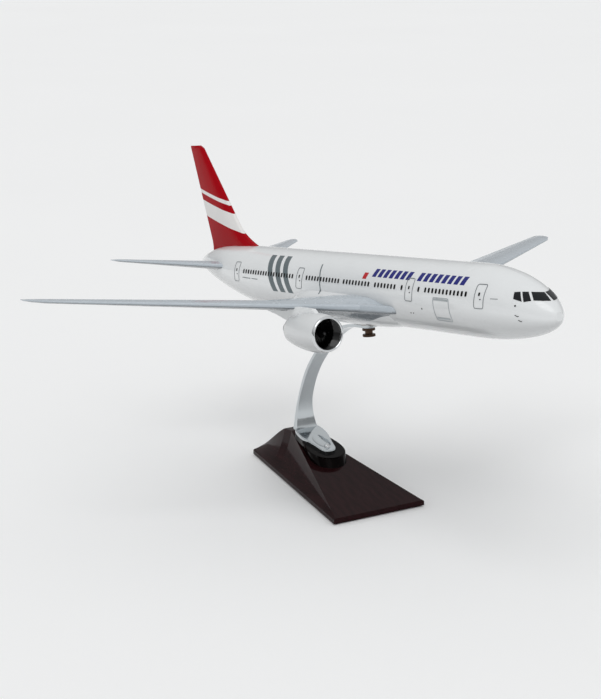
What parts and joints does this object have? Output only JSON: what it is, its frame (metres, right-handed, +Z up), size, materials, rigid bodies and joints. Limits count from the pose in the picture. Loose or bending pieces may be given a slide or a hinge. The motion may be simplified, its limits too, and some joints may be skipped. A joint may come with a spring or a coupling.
{
  "type": "desktop airliner model",
  "caption": "Glossy twin-engined airliner model set nose-up on a chrome swivel arm above a dark lacquered wooden wedge base.",
  "frame": {"origin": "centre of the wooden base's footprint, on the underside of its felt", "axes": "X runs the length of the base towards the aircraft's nose, Y is to the aircraft's port side, Z up"},
  "size_m": [0.6278, 0.582, 0.3058],
  "materials": {
    "base_lacquer": "dark red-brown stained wood under a glossy clear lacquer",
    "pedestal_lacquer": "dark stained wood under a glossy clear lacquer",
    "felt": "short dark felt",
    "polished_chrome": "mirror-bright plating",
    "dark_bronze": "dark antiqued bronze, semi-gloss",
    "plain_brass": "turned brass, satin",
    "white_gloss": "glossy white paint on moulded resin",
    "wing_grey": "glossy light grey paint on moulded resin",
    "fin_red": "glossy deep red paint with broad plain pale bands",
    "fan_black": "glossy black moulding",
    "lip_chrome": "bright plated ring",
    "nozzle_grey": "satin dark grey paint",
    "steel": "plain turned steel",
    "block_resin": "dark cast resin"
  },
  "bodies": {
    "stand": {"base": "base_lacquer", "base_felt": "felt", "pedestal": "pedestal_lacquer", "pedestal_screws": "steel", "stand_arm": "polished_chrome", "foot_screw": "polished_chrome"},
    "washer": {"thumbscrew_washer": "steel"},
    "thumbscrew": {"thumbscrew": "dark_bronze"},
    "aircraft": {"mount_insert": "plain_brass", "mount_block": "block_resin", "fuselage_left": "white_gloss", "fuselage_right": "white_gloss", "belly_fairing": "white_gloss", "wing_rods": "steel", "wing_left": "wing_grey", "wing_right": "wing_grey", "pylon_left": "white_gloss", "pylon_right": "white_gloss", "engine_cowl_left": "white_gloss", "engine_cowl_right": "white_gloss", "intake_lip_left": "lip_chrome", "intake_lip_right": "lip_chrome", "fan_axle_left": "steel", "fan_axle_right": "steel", "core_nozzle_left": "nozzle_grey", "core_nozzle_right": "nozzle_grey", "exhaust_plug_left": "nozzle_grey", "exhaust_plug_right": "nozzle_grey", "stabilizer_left": "wing_grey", "stabilizer_right": "wing_grey", "stabilizer_rod": "steel", "fin": "fin_red", "fin_pins": "steel"},
    "fan_right": {"fan_right": "fan_black", "fan_spinner_right": "fan_black"},
    "fan_left": {"fan_left": "fan_black", "fan_spinner_left": "fan_black"}
  },
  "joints": [
    {"name": "aircraft_swivel", "type": "hinge", "parent": "stand", "child": "aircraft", "pos_m": [0.0859, 0, 0.1801], "axis": [-0.134, 0, 0.991], "continuous": true},
    {"name": "thumbscrew_travel", "type": "slide", "parent": "stand", "child": "washer", "axis": [0.134, 0, -0.991], "range_m": [0, 0.008]},
    {"name": "thumbscrew_turn", "type": "hinge", "parent": "washer", "child": "thumbscrew", "pos_m": [0.0859, 0, 0.1801], "axis": [0.134, 0, -0.991], "range_deg": [0, 3600]},
    {"name": "fan_spin_right", "type": "hinge", "parent": "aircraft", "child": "fan_right", "pos_m": [0.15198, -0.092, 0.19812], "axis": [0.991, 0, 0.134], "continuous": true},
    {"name": "fan_spin_left", "type": "hinge", "parent": "aircraft", "child": "fan_left", "pos_m": [0.15198, 0.092, 0.19812], "axis": [0.991, 0, 0.134], "continuous": true}
  ],
  "couplings": [
    {"joint": "thumbscrew_turn", "follows": "thumbscrew_travel", "rad_per_m": 7853.9}
  ]
}
